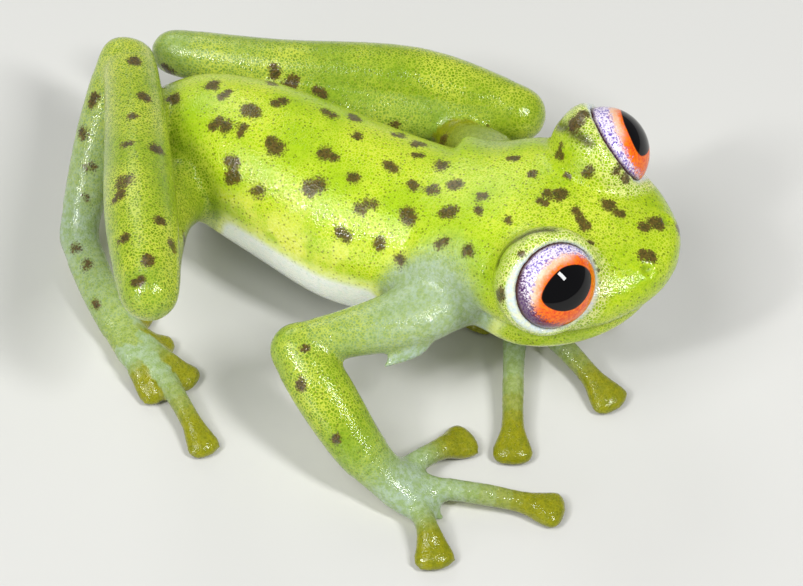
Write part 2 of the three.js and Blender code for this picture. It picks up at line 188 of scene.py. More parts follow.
leftArm = {
    "upper": [(3.4, 2.2, 5.4, 1.6, 1.4, 0.4, 0, 0.2), (1.9, 4.0, 4.6, 1.2, 1.15, 0.2, 0.4, 0.2),
              (0.2, 5.0, 3.2, 1.0, 1.0, 0, 0.8, 0.1)],
    "spine": [(1.9, 3.6, 4.0, 0.6, 0.45, 1, 0, 0), (2.5, 4.1, 3.6, 0.5, 0.3, 1, 0, 0),
              (2.9, 4.6, 3.2, 0.14, 0.12, 1, 0, 0)],
    "fore": [(0.2, 5.0, 3.2, 1.15, 1.05, 0, 0.8, 0.1), (1.5, 3.7, 2.5, 1.2, 1.05, 0.2, 0.5, 0.3),
             (3.0, 2.1, 1.6, 1.05, 0.9, 0.5, 0.3, 0.2), (4.3, 0.8, 1.05, 1.0, 0.8, 0.7, 0.3, 0)],
    "palm": [(4.3, 0.8, 1.05, 1.0, 0.8, 0.7, 0.3, 0), (5.1, 0.0, 0.85, 1.15, 0.75, 0.7, 0.3, 0),
             (5.8, -0.7, 0.6, 1.15, 0.67, 0.6, 0.4, 0)],
    "digits": [
        [(4.6, 0.1, 0.8), (4.1, -0.6, 0.75), (4.0, -1.7, 0.34)],
        [(5.7, -1.2, 0.8), (6.8, -3.9, 0.8), (8.3, -7.3, 0.34)],
        [(6.1, -0.5, 0.8), (8.2, -1.3, 0.75), (11.1, -2.8, 0.34)],
        [(6.0, 0.3, 0.8), (7.4, 0.9, 0.75), (9.2, 1.6, 0.34)],
    ],
}
rightLeg = {
    "thigh": [(-9.0, -1.0, 3.4, 1.75, 1.7, 0, 0, 0.6), (-9.4, -4.6, 4.8, 1.6, 1.6, 0, 0, 0.8),
              (-8.1, -8.6, 7.2, 1.5, 1.4, 0, 0, 1), (-6.5, -11.7, 9.0, 1.3, 1.3, 0.05, 0, 1)],
    "shank": [(-6.5, -11.7, 9.0, 1.3, 1.25, 0, 0, 1), (-8.8, -7.8, 8.4, 1.55, 1.5, 0, 0, 1),
              (-11.6, -2.6, 6.9, 1.35, 1.3, 0, 0, 0.9), (-13.8, 1.2, 5.6, 1.15, 1.05, 0, 0, 0.3)],
    "tarsus": [(-14.1, 1.2, 5.6, 1.1, 1.0, 0.1, 0, 0.3), (-14.0, -1.6, 3.4, 0.95, 0.9, 0.55, 0, 0.3),
               (-13.2, -5.1, 0.9, 0.9, 0.8, 0.9, 0, 0.1)],
    "sole": [(-13.2, -5.1, 0.9, 0.9, 0.8, 0.9, 0, 0), (-11.0, -7.3, 0.8, 0.85, 0.65, 0.6, 0.1, 0),
             (-8.6, -9.1, 0.55, 0.9, 0.62, 0.3, 0.4, 0)],
    "digits": [
        [(-10.6, -7.1, 0.7), (-9.4, -7.5, 0.6), (-8.6, -7.7, 0.3)],
        [(-9.4, -8.2, 0.7), (-8.3, -8.5, 0.7), (-7.1, -8.5, 0.3)],
        [(-8.4, -8.8, 0.7), (-7.0, -9.2, 0.7), (-5.5, -9.5, 0.3)],
        [(-8.0, -9.4, 0.7), (-6.0, -10.5, 0.7), (-3.4, -12.5, 0.34)],
        [(-8.5, -9.7, 0.7), (-7.6, -10.3, 0.65), (-6.4, -10.8, 0.3)],
    ],
}
leftLeg = {
    "thigh": [(-9.0, 1.0, 3.2, 1.75, 1.7, 0, 0, 0.6), (-6.4, 3.9, 3.0, 1.6, 1.6, 0, 0, 0.5),
              (-2.4, 6.0, 3.1, 1.55, 1.4, 0.1, 0, 0.5), (1.8, 7.6, 3.3, 1.3, 1.3, 0, 0.1, 0.3)],
    "shank": [(1.8, 7.6, 3.3, 1.3, 1.25, 0, 0.1, 0.3), (-2.8, 6.9, 3.8, 1.55, 1.5, 0, 0, 0.7),
              (-8.4, 4.8, 4.0, 1.3, 1.3, 0.1, 0, 0.6), (-12.9, 3.7, 3.9, 1.05, 1.05, 0.3, 0, 0.2)],
    "tarsus": [(-12.9, 3.7, 3.9, 1.05, 1.0, 0.4, 0, 0.2), (-11.2, 5.1, 2.4, 0.95, 0.85, 0.6, 0, 0.2),
               (-8.6, 6.4, 0.9, 0.9, 0.8, 0.8, 0, 0)],
    "sole": [(-8.6, 6.4, 0.9, 0.9, 0.8, 0.8, 0, 0), (-6.4, 7.4, 0.75, 0.85, 0.65, 0.6, 0.1, 0),
             (-4.4, 7.8, 0.55, 0.9, 0.62, 0.3, 0.4, 0)],
    "digits": [
        [(-5.8, 6.9, 0.7), (-4.9, 6.2, 0.6), (-4.1, 5.5, 0.3)],
        [(-4.8, 7.3, 0.7), (-3.5, 6.8, 0.7), (-2.3, 6.1, 0.3)],
        [(-3.9, 7.6, 0.7), (-2.2, 7.4, 0.7), (-0.3, 6.9, 0.3)],
        [(-3.7, 8.2, 0.7), (-1.7, 8.4, 0.7), (1.0, 8.6, 0.34)],
        [(-4.3, 8.5, 0.7), (-3.1, 9.0, 0.65), (-1.8, 9.5, 0.3)],
    ],
}
# A finger or toe. Pad rows: distance back from the tip, half width, half depth. Then half width and depth
# of its shaft and root, how far back the pad rests on the ground, and how deep it sinks in
fingerPad = {
    "rows": [(0.0, 0.5, 0.18), (0.06, 0.7, 0.27), (0.18, 0.86, 0.36), (0.42, 0.93, 0.42),
             (0.85, 0.8, 0.45), (1.35, 0.6, 0.43), (1.9, 0.49, 0.43)],
    "shaft": (0.5, 0.46), "root": (0.62, 0.55), "rest": 1.3, "sink": 0.05,
}
toePad = {
    "rows": [(0.0, 0.42, 0.17), (0.06, 0.56, 0.25), (0.18, 0.7, 0.34), (0.42, 0.75, 0.39),
             (0.85, 0.66, 0.42), (1.35, 0.52, 0.41), (1.9, 0.46, 0.42)],
    "shaft": (0.47, 0.44), "root": (0.6, 0.55), "rest": 1.3, "sink": 0.05,
}


def loftRings(rings):
    # skins a row of rings, each a list of places with the same count, into one closed form
    form = bmesh.new()
    loops = []
    for places in rings:
        made = bmesh.ops.create_circle(form, segments=len(places), radius=1.0)
        for vert, place in zip(made["verts"], places):
            vert.co = place
        loops.append(list({edge for vert in made["verts"] for edge in vert.link_edges}))
    for one, two in zip(loops[:-1], loops[1:]):
        bmesh.ops.bridge_loops(form, edges=one + two)
    bmesh.ops.holes_fill(form, edges=loops[0] + loops[-1], sides=0)
    bmesh.ops.recalc_face_normals(form, faces=form.faces)
    return form


def trunkForm(rows, place):
    rings = []
    for forward, left, halfWidth, top, bottom in smoothRows(rows, trunk["steps"]):
        middle = bottom + trunk["widest"] * (top - bottom)
        ring = []
        for side in range(trunk["sides"]):
            angle = 2 * math.pi * side / trunk["sides"]
            power = 2 / trunk["fullness"]
            across = math.copysign(abs(math.cos(angle)) ** power, math.cos(angle))
            rise = math.copysign(abs(math.sin(angle)) ** power, math.sin(angle))
            reach = top - middle if rise > 0 else middle - bottom
            ring.append(place((forward, left + across * halfWidth, middle + rise * reach)))
        rings.append(ring)
    return loftRings(rings)


# a limb's rings: their sides, fewer on digits and on thin flaps, and the rings of a rounded end
limb = {"sides": 22, "digitSides": 18, "flapSides": 14, "steps": 5, "digitSteps": 2,
        "dome": [0.97, 0.86, 0.66, 0.36], "thinnest": 0.02}


def limbForm(rows, steps, sides, domes):
    along = smoothRows(rows, steps)
    places = [at(row[:3]) for row in along]
    rings = []

    def addRing(index, slide, shrink):
        ahead = places[min(index + 1, len(places) - 1)]
        behind = places[max(index - 1, 0)]
        forward = (ahead - behind).normalized()
        across = Vector((0, 0, 1)).cross(forward).normalized()
        up = forward.cross(across)
        halfWidth, halfDepth = (max(limb["thinnest"], half) for half in along[index][3:5])
        middle = places[index] + forward * slide * halfDepth
        ring = []
        for side in range(sides):
            angle = 2 * math.pi * side / sides
            spot = middle + across * math.cos(angle) * halfWidth * shrink
            spot = spot + up * math.sin(angle) * halfDepth * shrink
            spot.z = max(spot.z, 0.0)
            ring.append(spot)
        rings.append(ring)

    if domes[0]:
        for reach in limb["dome"]:
            addRing(0, -reach, math.sqrt(1 - reach ** 2))
    for index in range(len(along)):
        addRing(index, 0, 1)
    if domes[1]:
        for reach in reversed(limb["dome"]):
            addRing(len(along) - 1, reach, math.sqrt(1 - reach ** 2))
    return loftRings(rings), along


# Along a digit: steps of its course, places of the shaft's two rings, how high the pad's middle lies, and
# how the skin turns from bluish at the root to olive at the tip
digit = {"fine": 24, "shaft": (0.66, 0.33), "flat": 0.92, "turnFrom": 0.9, "turnTo": 1.2,
         "blue": 0.75, "olive": 0.25}


def digitRows(line, pad):
    # stations from a digit's root to its tip, with the looks of its skin
    fine = smoothRows(line, digit["fine"])
    reach = [0.0]
    for one, two in zip(fine[:-1], fine[1:]):
        reach.append(reach[-1] + (Vector(two) - Vector(one)).length)
    length = reach[-1]
    shaftEnd = pad["rows"][-1][0]
    sections = [(length, *pad["root"])]
    sections += [(shaftEnd + (length - shaftEnd) * share, *pad["shaft"]) for share in digit["shaft"]]
    sections += list(reversed(pad["rows"]))
    rows = []
    for back, halfWidth, halfDepth in sections:
        want = max(0.0, length - back)
        k = next((n for n in range(1, len(reach)) if reach[n] >= want - 1e-9), len(reach) - 1)
        share = (want - reach[k - 1]) / max(1e-9, reach[k] - reach[k - 1])
        spot = Vector(fine[k - 1]).lerp(Vector(fine[k]), share)
        up = digit["flat"] * halfDepth - pad["sink"] if back < pad["rest"] else spot.z
        tipward = ease(length * digit["turnFrom"], digit["turnTo"], back)
        blue = digit["blue"] * (1 - tipward)
        olive = digit["olive"] + (1 - digit["olive"]) * tipward
        rows.append((spot.x, spot.y, up, halfWidth, halfDepth, blue, olive, 0))
    return rows


def eyeCentre(side):
    forward, left, up = eyes["place"]
    return onHead((forward, side * left, up))


def eyeAxis(side):
    (forward, left, up), (aheadward, outward, upward) = eyes["place"], eyes["axis"]
    tip = onHead((forward + aheadward, side * (left + outward), up + upward))
    return (tip - eyeCentre(side)).normalized()


def eyeFrame(side):
    # the eye's own directions: ahead along the head, above, and out through the pupil
    axis = eyeAxis(side)
    ahead = Vector((0, 0, 1)).cross(axis).normalized()
    if ahead.y > 0:
        ahead.negate()
    above = axis.cross(ahead).normalized()
    if above.z < 0:
        above.negate()
    return ahead, above, axis


def lidForm(side):
    centre = eyeCentre(side)
    ahead, above, axis = eyeFrame(side)
    rings = []
    for reach, height in smoothRows(eyes["lids"], eyes["lidSteps"]):
        ring = []
        for step in range(eyes["lidSides"]):
            angle = 2 * math.pi * step / eyes["lidSides"]
            across = ahead * math.cos(angle) + above * math.sin(angle)
            ring.append(centre + across * max(reach, limb["thinnest"]) + axis * height)
        rings.append(ring)
    return loftRings(rings)


# samples along every limb carry the looks to the skin round them
looks = []
forms = []


def addLimb(rows, sides=limb["sides"], steps=limb["steps"], domes=(True, True)):
    form, along = limbForm(rows, steps, sides, domes)
    forms.append(form)
    for forward, left, up, halfWidth, halfDepth, blue, olive, dots in along:
        looks.append((at((forward, left, up)), (halfWidth + halfDepth) / 2, (blue, olive, dots)))


def addDigit(line, pad):
    addLimb(digitRows(line, pad), limb["digitSides"], limb["digitSteps"], (True, False))


def buildForms():
    forms.append(trunkForm(trunk["rows"], at))
    forms.append(trunkForm(skull["rows"], onHead))
    forms.append(trunkForm(jaw["rows"], onHead))
    for side in (1, -1):
        forms.append(lidForm(side))
    for arm in (rightArm, leftArm):
        for part in ("upper", "spine", "fore", "palm"):
            addLimb(arm[part], limb["flapSides"] if part == "spine" else limb["sides"])
        for line in arm["digits"]:
            addDigit(line, fingerPad)
    addLimb(rightArm["web"], limb["flapSides"])
    for leg in (rightLeg, leftLeg):
        for part in ("thigh", "shank", "tarsus", "sole"):
            addLimb(leg[part])
        for line in leg["digits"]:
            addDigit(line, toePad)


# The grid that fuses the forms, in mm, rounds of smoothing all over and at the joints, how strongly each
# round pulls, and how close to the ground the skin may lie
skin = {"voxel": 0.148, "smoothTurns": 5, "joinTurns": 16, "pull": 0.5, "lowest": 0.004}


def oneMesh(parts, name):
    whole = bmesh.new()
    for form in parts:
        piece = bpy.data.meshes.new("part")
        form.to_mesh(piece)
        form.free()
        whole.from_mesh(piece)
        bpy.data.meshes.remove(piece)
    mesh = bpy.data.meshes.new(name)
    whole.to_mesh(mesh)
    whole.free()
    return mesh


def fused(mesh, name):
    # one closed skin round all the forms
    rough = bpy.data.objects.new(name, mesh)
    bpy.context.scene.collection.objects.link(rough)
    remesh = rough.modifiers.new("Fuse", "REMESH")
    remesh.mode = "VOXEL"
    remesh.voxel_size = skin["voxel"]
    depsgraph = bpy.context.evaluated_depsgraph_get()
    done = bpy.data.meshes.new_from_object(rough.evaluated_get(depsgraph))
    bpy.data.objects.remove(rough)
    return done


buildForms()
skinMesh = fused(oneMesh(forms, "frogForms"), "frogForms")
print("skin fused:", len(skinMesh.vertices), "points")

# Creases that are filled like skin stretched over a joint: centre, reach
softJoints = [
    ((3.2, -3.8, 5.2), 2.0), ((3.0, 3.0, 5.4), 1.8), ((-9.4, -2.8, 4.2), 1.8), ((-8.2, 2.6, 3.2), 1.8),
    ((-1.2, -8.7, 4.5), 1.4), ((0.2, 5.0, 3.2), 1.4), ((4.0, -10.9, 1.3), 1.5), ((5.4, -10.8, 0.8), 1.5),
    ((4.3, 0.8, 1.0), 1.4), ((5.6, -0.6, 0.8), 1.5), ((-14.0, 1.2, 5.6), 1.6), ((-13.2, -5.1, 0.9), 1.5),
    ((-12.9, 3.7, 3.9), 1.5), ((-8.6, 6.4, 0.9), 1.5), ((-8.6, -9.1, 0.7), 1.4), ((-4.4, 7.8, 0.7), 1.4),
    ((-6.5, -11.7, 9.0), 1.6), ((1.8, 7.6, 3.3), 1.6), ((3.4, 0, 8.0), 3.5),
]


def smoothed(form, verts, turns):
    every = {"use_axis_x": True, "use_axis_y": True, "use_axis_z": True}
    for turn in range(turns):
        bmesh.ops.smooth_vert(form, verts=verts, factor=skin["pull"], **every)


def smoothSkin(mesh):
    form = bmesh.new()
    form.from_mesh(mesh)
    smoothed(form, form.verts, skin["smoothTurns"])
    centres = [(at(place), reach) for place, reach in softJoints]
    near = [v for v in form.verts if any((v.co - c).length < reach for c, reach in centres)]
    smoothed(form, near, skin["joinTurns"])
    for vert in form.verts:
        vert.co.z = max(vert.co.z, skin["lowest"])
    form.to_mesh(mesh)
    form.free()


smoothSkin(skinMesh)

# The line of the mouth on the head: forward, height
mouth = {
    "line": [(4.6, 5.3), (6.6, 5.5), (8.4, 5.7), (10.1, 5.9), (11.3, 6.15), (12.4, 6.45)],
    "corner": 5.2, "fade": 0.4, "depth": 0.11, "width": 0.13,
}
headFrom = 4.0
nostrils = {"place": (11.25, 1.35, 7.85), "reach": 0.19, "depth": 0.34, "rise": 0.12, "mound": 0.55}


def headPlace(co):
    # forward, left and up in the head's own frame
    yaw, shift = headPose["yaw"], headPose["shift"]
    forward = -co.y - ground["bodyForward"] - ground["neckForward"] - shift[0]
    left = co.x + ground["bodyLeft"] - shift[1]
    return (
        ground["neckForward"] + forward * math.cos(yaw) + left * math.sin(yaw),
        -forward * math.sin(yaw) + left * math.cos(yaw),
        co.z - shift[2],
    )


def heightOn(line, forward):
    for (x0, z0), (x1, z1) in zip(line[:-1], line[1:]):
        if forward <= x1:
            return z0 + (z1 - z0) * max(0.0, forward - x0) / (x1 - x0)
    return line[-1][1]


def mouthShare(forward, up):
    start, full = mouth["corner"] - mouth["fade"], mouth["corner"] + mouth["fade"]
    if forward < start:
        return 0.0
    off = (up - heightOn(mouth["line"], forward)) / mouth["width"]
    return math.exp(-off * off) * ease(start, full, forward)


# A fold of skin runs over the eye at the foot of the lids: its course in the photograph, in pixels,
# then how wide and deep it is pressed in, and how wide its painted shade is
lidFold = {
    "course": [(552, 229), (545, 229), (538, 230), (530, 232), (522, 236), (515, 240), (508, 245),
               (503, 251), (499, 258), (497, 265)],
    "steps": 6, "width": 0.15, "depth": 0.08, "dark": 0.25,
}


def nostrilPlaces():
    forward, left, up = nostrils["place"]
    return [onHead((forward, side * left, up)) for side in (1, -1)]


def skinTree(mesh):
    return BVHTree.FromPolygons([v.co for v in mesh.vertices], [p.vertices for p in mesh.polygons])


def pointTree(places):
    tree = kdtree.KDTree(len(places))
    for index, place in enumerate(places):
        tree.insert(place, index)
    tree.balance()
    return tree


def foldTree(mesh):
    # points along both folds; the left one is the right one's mirror image on the head
    tree = skinTree(mesh)
    hits = [tree.ray_cast(*photoRay(*pixel))[0] for pixel in lidFold["course"]]
    hits = [hit for hit in hits if hit is not None]
    steps = lidFold["steps"]
    line = [one.lerp(two, step / steps) for one, two in zip(hits[:-1], hits[1:]) for step in range(steps)]
    for forward, left, up in [headPlace(place) for place in line]:
        line.append(onHead((forward, -left, up)))
    return pointTree(line)


def foldShare(tree, co, width):
    away = tree.find(co)[2]
    return math.exp(-(away / width) ** 2)


def carveHead(mesh, folds):
    # the line of the mouth, the folds and the nostrils are pressed in
    pits = nostrilPlaces()
    moves = []
    for vert in mesh.vertices:
        forward, left, up = headPlace(vert.co)
        if forward < headFrom:
            moves.append(0.0)
            continue
        move = -mouth["depth"] * mouthShare(forward, up)
        move -= lidFold["depth"] * foldShare(folds, vert.co, lidFold["width"])
        for pit in pits:
            away = (vert.co - pit).length
            move += nostrils["rise"] * math.exp(-(away / nostrils["mound"]) ** 2)
            move -= nostrils["depth"] * math.exp(-(away / nostrils["reach"]) ** 2)
        moves.append(move)
    normals = [vert.normal.copy() for vert in mesh.vertices]
    for vert, move, normal in zip(mesh.vertices, moves, normals):
        vert.co += normal * move


lidFolds = foldTree(skinMesh)
carveHead(skinMesh, lidFolds)
skinMesh.update()
print("mouth, nostrils and folds carved")

# Looks of the skin, kept as numbers on its points. Dark spots: place in the photograph, in pixels, and
# radius in millimetres
seenSpots = {
    "body": [
        (168, 71, 0.2), (173, 99, 0.2), (211, 86, 0.24), (224, 95, 0.2), (251, 112, 0.28),
        (224, 125, 0.24), (241, 131, 0.22), (273, 73, 0.2), (274, 84, 0.2), (293, 86, 0.26),
        (281, 103, 0.22), (319, 93, 0.2), (330, 114, 0.24), (358, 118, 0.26), (358, 136, 0.24),
        (392, 126, 0.26), (399, 135, 0.22), (274, 145, 0.2), (327, 156, 0.24), (232, 161, 0.22),
        (232, 178, 0.2), (257, 195, 0.24), (312, 186, 0.3), (352, 175, 0.22), (366, 203, 0.31),
        (411, 214, 0.31), (393, 167, 0.22), (418, 145, 0.24), (417, 156, 0.2), (442, 142, 0.22),
        (442, 166, 0.26), (413, 187, 0.22), (434, 188, 0.24), (455, 185, 0.22), (448, 213, 0.26),
        (342, 238, 0.22), (382, 246, 0.24), (443, 246, 0.24), (468, 250, 0.22), (399, 265, 0.22),
    ],
    "head": [
        (577, 118, 0.3), (573, 122, 0.22), (560, 147, 0.17), (559, 156, 0.16), (568, 175, 0.12),
        (589, 171, 0.2), (617, 168, 0.15), (625, 177, 0.16), (543, 199, 0.2), (549, 197, 0.2),
        (556, 195, 0.2), (563, 193, 0.19), (604, 204, 0.19), (610, 208, 0.2), (616, 212, 0.2),
        (577, 213, 0.18), (581, 220, 0.19), (585, 227, 0.18), (647, 226, 0.2), (654, 225, 0.2),
        (661, 223, 0.2), (643, 256, 0.19), (650, 257, 0.2), (590, 242, 0.12), (595, 262, 0.09),
        (599, 271, 0.08), (512, 160, 0.18), (533, 175, 0.17), (482, 197, 0.2), (477, 212, 0.18),
        (510, 220, 0.18), (468, 251, 0.18), (501, 297, 0.3), (449, 212, 0.18), (455, 185, 0.18),
        (523, 252, 0.15),
    ],
    "leg": [
        (135, 61, 0.22), (145, 99, 0.26), (130, 117, 0.22), (127, 142, 0.22), (157, 146, 0.24),
        (125, 180, 0.36), (119, 197, 0.26), (94, 100, 0.24), (86, 131, 0.24), (86, 164, 0.24),
        (87, 201, 0.22), (123, 240, 0.22), (159, 222, 0.2), (171, 246, 0.22), (149, 260, 0.24),
        (138, 281, 0.22), (77, 246, 0.2), (89, 265, 0.22), (95, 303, 0.2),
    ],
    "trunkRear": [
        (168, 70, 0.2), (173, 100, 0.22), (211, 86, 0.22), (227, 93, 0.2), (219, 123, 0.24),
        (252, 111, 0.26), (274, 144, 0.36), (232, 161, 0.22), (232, 177, 0.2),
    ],
    "arm": [(304, 348, 0.2), (304, 385, 0.24), (337, 436, 0.2)],
}
# How each spot is broken up: growth over its radius, parts, how far they stray and how small they are
spotForm = {"grow": 1.62, "split": 3, "spread": 0.62, "stray": (0.5, 1.2), "part": (0.55, 0.85), "seed": 5}
# Spots where the photograph does not see: apart from each other and above the belly, in millimetres, and
# where the skin faces away from the camera but not down
hiddenForm = {"count": 46, "tries": 4000, "apart": 1.1, "above": 2.4, "radius": (0.24, 0.4), "seed": 11,
              "facing": 0.1, "down": -0.1}


def placesOnSkin(tree):
    found = []
    for across, down, radius in [spot for part in seenSpots.values() for spot in part]:
        hit, normal, face, away = tree.ray_cast(*photoRay(across, down))
        if hit is not None:
            found.append((hit, radius * spotForm["grow"]))
    return found


def broken(spots):
    # each spot becomes a small crowd, so that no two have the same outline
    chance = random.Random(spotForm["seed"])
    made = []
    for place, radius in spots:
        for part in range(spotForm["split"]):
            way = Vector([chance.gauss(0, 1) for axis in range(3)]).normalized()
            off = way * radius * spotForm["spread"] * chance.uniform(*spotForm["stray"])
            made.append((place + off, radius * chance.uniform(*spotForm["part"])))
    return made


def hiddenSpots(mesh, known):
    # the sides that the photograph hides carry spots of the same size and spread
    chance = random.Random(hiddenForm["seed"])
    right, up, back = cameraAxes()
    places = [v for v in mesh.vertices if v.normal.z > hiddenForm["down"] and v.co.z > hiddenForm["above"]]
    places = [v for v in places if v.normal.dot(back) < hiddenForm["facing"]]
    made = []
    tries = 0
    while len(made) < hiddenForm["count"] and tries < hiddenForm["tries"]:
        tries += 1
        vert = chance.choice(places)
        near = min((vert.co - other).length for other, radius in known + made)
        if near > hiddenForm["apart"]:
            made.append((vert.co.copy(), chance.uniform(*hiddenForm["radius"])))
    return made


def trunkSpan(forward):
    # the trunk's bottom and top at a station
    rows = trunk["rows"]
    for one, two in zip(rows[:-1], rows[1:]):
        if forward <= two[0]:
            f = max(0.0, (forward - one[0]) / (two[0] - one[0]))
            return one[4] + (two[4] - one[4]) * f, one[3] + (two[3] - one[3]) * f
    return rows[-1][4], rows[-1][3]


def nearestLook(tree, place):
    # the limb sample that holds this place most closely, with its distance in radii
    best, share = (0, 0, 0), 9.0
    for co, index, away in tree.find_n(place, zones["samples"]):
        spot, radius, look = looks[index]
        if away / radius < share:
            best, share = look, away / radius
    return best, share


def addFloats(mesh, name, values):
    layer = mesh.attributes.new(name, "FLOAT", "POINT")
    layer.data.foreach_set("value", values)


# Where each look of the skin fades in or out: from, to
zones = {
    "samples": 18, "limb": (1.25, 1.9),
    # shares of the trunk's height, and millimetres forward
    "belly": (0.42, 0.66), "flank": (0.62, 0.97), "flankFront": (3.0, 5.0), "head": (4.4, 6.2),
    # how far the skin faces down, and millimetres below the mouth
    "underHead": (-0.75, -0.15), "belowMouth": (0.1, 0.8), "underLimb": (-0.9, -0.3), "limbPale": 0.7,
    # on the next line, the two pit entries give the strength and reach of the painted shade in the nostril
    # pits
    "spotsNear": 8, "spotOnPale": 0.8, "spotOnBlue": 0.3, "pitShade": 1.5, "pitReach": 0.17,
    "leastHeight": 0.5, "foldShadeFrom": 0.1,
}
# Lids: how far they reach, out along the eye's axis and from its centre, then the white of the lip, which
# widens behind the eye
lidLook = {
    "reach": 3.2, "back": -1.2, "swell": (2.42, 2.75), "foot": (-0.9, 0.4),
    "lip": 0.05, "behind": 0.34, "turn": 1.6, "low": 0.45, "lean": 0.9, "fade": (-0.05, 0.12),
}


def spotShare(tree, spots, co):
    near = [1 - away / (2 * spots[index][1]) for place, index, away in tree.find_n(co, zones["spotsNear"])]
    return max(0.0, *near)


def lidShares(eyeParts, co):
    # how much of a lid, and of its white lip, a place is
    bulge, rim = 0.0, 0.0
    for centre, (ahead, above, axis) in eyeParts:
        off = co - centre
        out = off.dot(axis)
        if off.length > lidLook["reach"] or out < lidLook["back"]:
            continue
        across = off - axis * out
        bulge = max(bulge, (1 - ease(*lidLook["swell"], off.length)) * ease(*lidLook["foot"], out))
        behind = max(0.0, -across.normalized().dot(ahead)) ** lidLook["turn"]
        width = lidLook["lip"] + lidLook["behind"] * behind
        past = across.length - eyes["limbus"] + max(0.0, lidLook["low"] - out) * lidLook["lean"]
        rim = max(rim, 1 - ease(width + lidLook["fade"][0], width + lidLook["fade"][1], past))
    return bulge, rim


def paintSkin(mesh, folds):
    tree = skinTree(mesh)
    spots = placesOnSkin(tree)
    seen = len(spots)
    spots += hiddenSpots(mesh, spots)
    print("spots:", seen, "seen and", len(spots) - seen, "on hidden sides")
    spots = broken(spots)
    spotTree = pointTree([place for place, radius in spots])
    lookTree = pointTree([place for place, radius, look in looks])
    eyeParts = [(eyeCentre(side), eyeFrame(side)) for side in (1, -1)]
    pits = nostrilPlaces()
    values = {}
    for vert in mesh.vertices:
        co, normal = vert.co, vert.normal
        (blue, olive, dots), ratio = nearestLook(lookTree, co)
        onLimb = 1 - ease(*zones["limb"], ratio)
        forward, left, up = headPlace(co)
        flatForward = -co.y - ground["bodyForward"]
        bottom, top = trunkSpan(flatForward)
        height = (co.z - bottom) / max(zones["leastHeight"], top - bottom)
        belly = (1 - ease(*zones["belly"], height)) * (1 - onLimb)
        headPart = ease(*zones["head"], forward) * (1 - onLimb)
        underHead = (1 - ease(*zones["underHead"], normal.z)) * headPart
        underHead *= ease(*zones["belowMouth"], heightOn(mouth["line"], forward) - up)
        underLimb = zones["limbPale"] * onLimb * (1 - olive) * (1 - ease(*zones["underLimb"], normal.z))
        pale = max(belly * (1 - headPart), underHead, underLimb)
        spot = spotShare(spotTree, spots, co) * (1 - zones["spotOnPale"] * pale)
        # painted shade: darker in the nostril pits and along the mouth line
        pit = min((co - place).length for place in pits)
        pitShade = zones["pitShade"] * math.exp(-(pit / zones["pitReach"]) ** 2)
        bulge, rim = lidShares(eyeParts, co)
        flank = (1 - ease(*zones["flank"], height)) * (1 - onLimb)
        flank *= 1 - ease(*zones["flankFront"], flatForward)
        # painted shade: a dark line along the fold over the eye, as wide as the fold's dark width
        foldShade = foldShare(folds, co, lidFold["dark"]) if headPart > zones["foldShadeFrom"] else 0.0
        here = {
            "blue": blue * onLimb, "olive": olive * onLimb, "dots": dots * onLimb + (1 - onLimb),
            "pale": pale, "spot": spot * (1 - zones["spotOnBlue"] * blue * onLimb),
            "creaseShade": max(mouthShare(forward, up) * headPart, pitShade), "bulge": bulge, "rim": rim,
            "head": headPart, "flank": flank, "foldShade": foldShade, "limb": onLimb,
        }
        for name, value in here.items():
            values.setdefault(name, []).append(value)
    for name, numbers in values.items():
        addFloats(mesh, name, numbers)


paintSkin(skinMesh, lidFolds)
print("skin marked")


# Materials
def toLinear(text):
    parts = [int(text[k:k + 2], 16) / 255 for k in (1, 3, 5)]
    return tuple(p / 12.92 if p <= 0.04045 else ((p + 0.055) / 1.055) ** 2.4 for p in parts) + (1.0,)


def addNode(tree, kind, settings=None, links=None):
    # settings are the node's own choices, links are values or outputs for its inputs
    node = tree.nodes.new(kind)
    for key, value in (settings or {}).items():
        setattr(node, key, value)
    for key, value in (links or {}).items():
        if isinstance(value, bpy.types.NodeSocket):
            tree.links.new(value, node.inputs[key])
        else:
            node.inputs[key].default_value = value
    return node


def newMaterial(name):
    material = bpy.data.materials.new(name)
    material.use_nodes = True
    tree = material.node_tree
    tree.nodes.clear()
    return material, tree


def reckon(tree, operation, first, second=0.0, third=0.0, clamp=False):
    links = {0: first, 1: second, 2: third}
    return addNode(tree, "ShaderNodeMath", {"operation": operation, "use_clamp": clamp}, links).outputs[0]


def times(tree, first, second):
    return reckon(tree, "MULTIPLY", first, second)


def timesPlus(tree, first, second, third):
    return reckon(tree, "MULTIPLY_ADD", first, second, third)


def swung(tree, value, wave, middle, amount):
    # a value pushed up and down by a wave
    return timesPlus(tree, reckon(tree, "SUBTRACT", wave, middle), amount, value)


def rising(tree, value, low, high):
    settings = {"interpolation_type": "SMOOTHSTEP"}
    return addNode(tree, "ShaderNodeMapRange", settings, {0: value, 1: low, 2: high}).outputs[0]


def mixed(tree, share, first, second):
    links = {0: share, 6: first, 7: second}
    return addNode(tree, "ShaderNodeMix", {"data_type": "RGBA"}, links).outputs[2]


def toned(tree, wave, low, high, tones):
    # two tones with a wave between them
    return mixed(tree, rising(tree, wave, low, high), toLinear(tones[0]), toLinear(tones[1]))


def fromSkin(tree, name):
    return addNode(tree, "ShaderNodeAttribute", {"attribute_name": name}).outputs["Fac"]


def inMillimetres(tree):
    place = addNode(tree, "ShaderNodeTexCoord").outputs["Object"]
    return addNode(tree, "ShaderNodeMapping", {}, {"Vector": place, "Scale": (1000, 1000, 1000)}).outputs[0]


def noise(tree, place, scale, detail=2.0, roughness=0.5):
    links = {"Vector": place, "Scale": scale, "Detail": detail, "Roughness": roughness}
    return addNode(tree, "ShaderNodeTexNoise", {}, links).outputs["Fac"]
